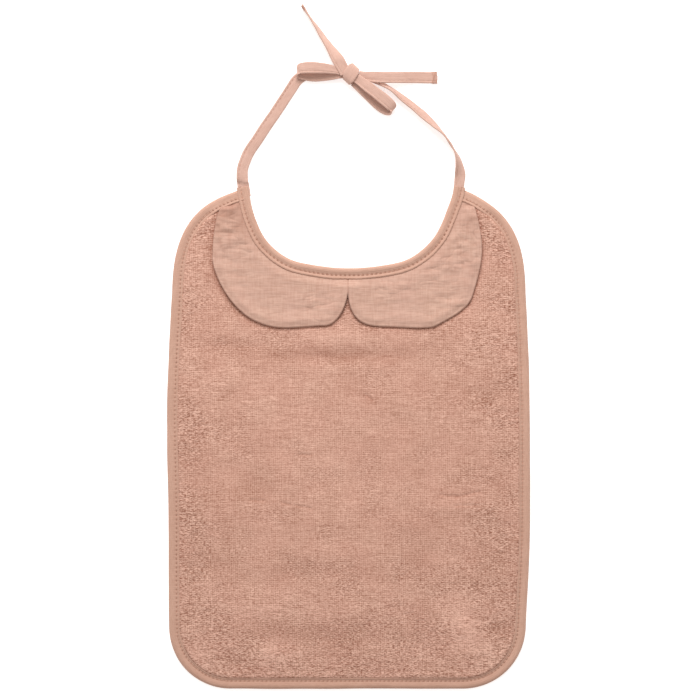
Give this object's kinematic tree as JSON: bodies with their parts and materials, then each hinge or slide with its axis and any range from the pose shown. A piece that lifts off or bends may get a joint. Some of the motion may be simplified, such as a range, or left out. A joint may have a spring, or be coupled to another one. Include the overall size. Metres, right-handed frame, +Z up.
{
  "type": "baby bib",
  "caption": "Terry baby bib lying flat, with bias-bound edges, a two-leaf muslin collar and two tape ties knotted in a bow.",
  "frame": {"origin": "centre of the bib's own footprint on the surface it lies on, measured without the ties and the bow", "axes": "+Y from the bottom edge towards the neck and the ties, +X towards the picture's right with the terry face up, +Z up out of the terry face"},
  "size_m": [0.249, 0.4694, 0.0084],
  "materials": {
    "terry": "cotton terry with short uneven pile",
    "lining": "plain woven cotton",
    "binding": "plain woven bias tape",
    "muslin": "crinkled double gauze",
    "tape": "plain woven bias tape",
    "thread": "spun sewing thread"
  },
  "bodies": {
    "bib": {"front_terry_panel": "terry", "back_lining_panel": "lining", "outer_binding": "binding", "neck_binding": "binding", "outer_stitching_front": "thread", "outer_stitching_back": "thread", "neck_stitching_front": "thread", "neck_stitching_back": "thread", "left_collar_seam_edge": "muslin", "right_collar_seam_edge": "muslin"},
    "left_collar": {"left_collar_upper_layer": "muslin", "left_collar_under_layer": "muslin"},
    "right_collar": {"right_collar_upper_layer": "muslin", "right_collar_under_layer": "muslin"},
    "neck_loop": {"left_tie": "tape", "right_tie": "tape", "left_tie_stitching": "thread", "right_tie_stitching": "thread", "bow_knot": "tape"},
    "left_loop": {"bow_loop_left": "tape"},
    "right_loop": {"bow_loop_right": "tape"},
    "left_tail": {"bow_tail_left": "tape", "left_tail_hem": "thread"},
    "right_tail": {"bow_tail_right": "tape", "right_tail_hem": "thread"}
  },
  "joints": [
    {"name": "left_collar_flip", "type": "hinge", "parent": "bib", "child": "left_collar", "pos_m": [-0.0534, 0.1198, 0.0033], "axis": [-0.8231, 0.5678, 0], "range_deg": [0, 110]},
    {"name": "right_collar_flip", "type": "hinge", "parent": "bib", "child": "right_collar", "pos_m": [0.0534, 0.1198, 0.0033], "axis": [-0.8231, -0.5678, 0], "range_deg": [0, 110]},
    {"name": "neck_loop_lift", "type": "hinge", "parent": "bib", "child": "neck_loop", "pos_m": [0, 0.1738, 0.002], "axis": [1, 0, 0], "range_deg": [0, 75]},
    {"name": "left_loop_lift", "type": "hinge", "parent": "neck_loop", "child": "left_loop", "pos_m": [0.002, 0.25, 0.004], "axis": [0, 1, 0], "range_deg": [0, 40]},
    {"name": "right_loop_lift", "type": "hinge", "parent": "neck_loop", "child": "right_loop", "pos_m": [0.002, 0.25, 0.004], "axis": [-0.6532, -0.7572, 0], "range_deg": [0, 40]},
    {"name": "left_tail_lift", "type": "hinge", "parent": "neck_loop", "child": "left_tail", "pos_m": [0.002, 0.25, 0.004], "axis": [0.8311, 0.5561, 0], "range_deg": [0, 70]},
    {"name": "right_tail_lift", "type": "hinge", "parent": "neck_loop", "child": "right_tail", "pos_m": [0.002, 0.25, 0.004], "axis": [0, -1, 0], "range_deg": [0, 70]}
  ]
}
